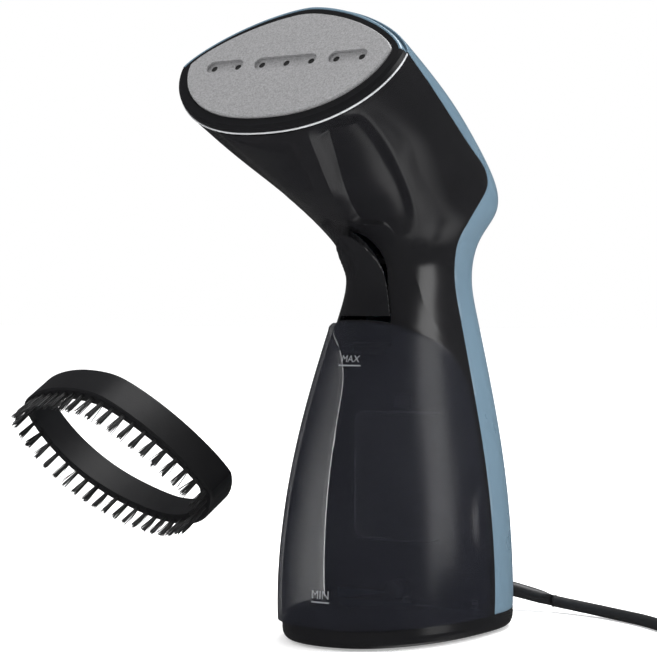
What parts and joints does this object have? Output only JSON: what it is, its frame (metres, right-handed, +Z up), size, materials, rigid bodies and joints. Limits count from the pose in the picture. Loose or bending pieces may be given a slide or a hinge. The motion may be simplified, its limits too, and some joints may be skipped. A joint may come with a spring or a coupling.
{
  "type": "garment steamer",
  "caption": "Handheld garment steamer with a tilted eye-shaped steam plate, smoke-tinted pull-off water tank, trigger, mains cord and a clip-on brush.",
  "frame": {"origin": "on the floor plane, at the centre of the steamer's base", "axes": "+Z up, -Y towards the front of the steamer, which the steam plate and the trigger face, X across its width"},
  "size_m": [0.3731, 0.2599, 0.2763],
  "materials": {
    "shell": "satin",
    "dark_shell": "gloss",
    "smoke_tank": "clear, smoke tinted",
    "cast_plate": "fine cast, satin",
    "silver_trim": "bright",
    "steel": "bright",
    "brass": "plain",
    "boiler_metal": "die cast",
    "soft_rubber": "matte",
    "silicone": "matte, milky",
    "inner_plastic": "moulded",
    "black_plastic": "satin",
    "board": "solder mask",
    "lens": "clear",
    "copper": "enamelled winding",
    "cord": "matte",
    "bristle": "fibres"
  },
  "bodies": {
    "steamer": {"steam_plate": "cast_plate", "head_bezel": "dark_shell", "trim_ring": "silver_trim", "plate_gasket": "silicone", "steam_chamber": "boiler_metal", "boiler_block": "boiler_metal", "heating_element": "steel", "thermostat": "steel", "thermal_fuse": "inner_plastic", "boiler_screws": "steel", "front_housing": "dark_shell", "rear_cover": "shell", "base_cover": "dark_shell", "base_pad": "soft_rubber", "trigger_pin": "steel", "trigger_spring": "steel", "micro_switch": "black_plastic", "catch_bar": "black_plastic", "indicator_lens": "lens", "circuit_board": "board", "button_switch": "black_plastic", "indicator_lamp": "lens", "pump_barrel": "brass", "pump_coil": "copper", "pump_yoke": "steel", "pump_spring": "steel", "suction_hose": "silicone", "water_nipple": "inner_plastic", "steam_feed_hose": "silicone", "cover_screws": "steel", "cord_bushing": "soft_rubber", "power_cord": "cord", "cord_coil": "cord", "cord_tail": "cord", "cord_tie": "soft_rubber", "plug_body": "cord", "plug_pins": "steel"},
    "tank": {"water_tank": "smoke_tank", "tank_outlet_seal": "silicone", "tank_strainer": "inner_plastic", "tank_filler_bung": "soft_rubber"},
    "trigger": {"trigger": "dark_shell"},
    "catch": {"tank_catch": "black_plastic"},
    "button": {"power_button": "dark_shell"},
    "plunger": {"pump_plunger": "steel"},
    "brush": {"brush_frame": "black_plastic", "brush_bristles": "bristle"}
  },
  "joints": [
    {"name": "tank_slide", "type": "slide", "parent": "steamer", "child": "tank", "axis": [0, -1, 0], "range_m": [0, 0.13]},
    {"name": "trigger_pull", "type": "hinge", "parent": "steamer", "child": "trigger", "pos_m": [0, -0.02, 0.168], "axis": [1, 0, 0], "range_deg": [0, 6], "stiffness_Nm_per_rad": 0.6, "springref_deg": -2.86},
    {"name": "catch_swing", "type": "hinge", "parent": "steamer", "child": "catch", "pos_m": [0, 0.0118, 0.137], "axis": [1, 0, 0], "range_deg": [0, 4], "stiffness_Nm_per_rad": 0.3, "springref_deg": -2.86},
    {"name": "button_press", "type": "slide", "parent": "steamer", "child": "button", "axis": [0, -1, 0], "range_m": [0, 0.0012], "stiffness_N_per_m": 1500, "springref_m": -0.0005},
    {"name": "plunger_stroke", "type": "slide", "parent": "steamer", "child": "plunger", "axis": [0, 0, 1], "range_m": [-0.0015, 0.0015], "stiffness_N_per_m": 2000, "deforming": ["pump_spring"]},
    {"name": "brush_lift", "type": "slide", "parent": "steamer", "child": "brush", "axis": [0, 0, 1], "range_m": [0, 0.1]}
  ]
}
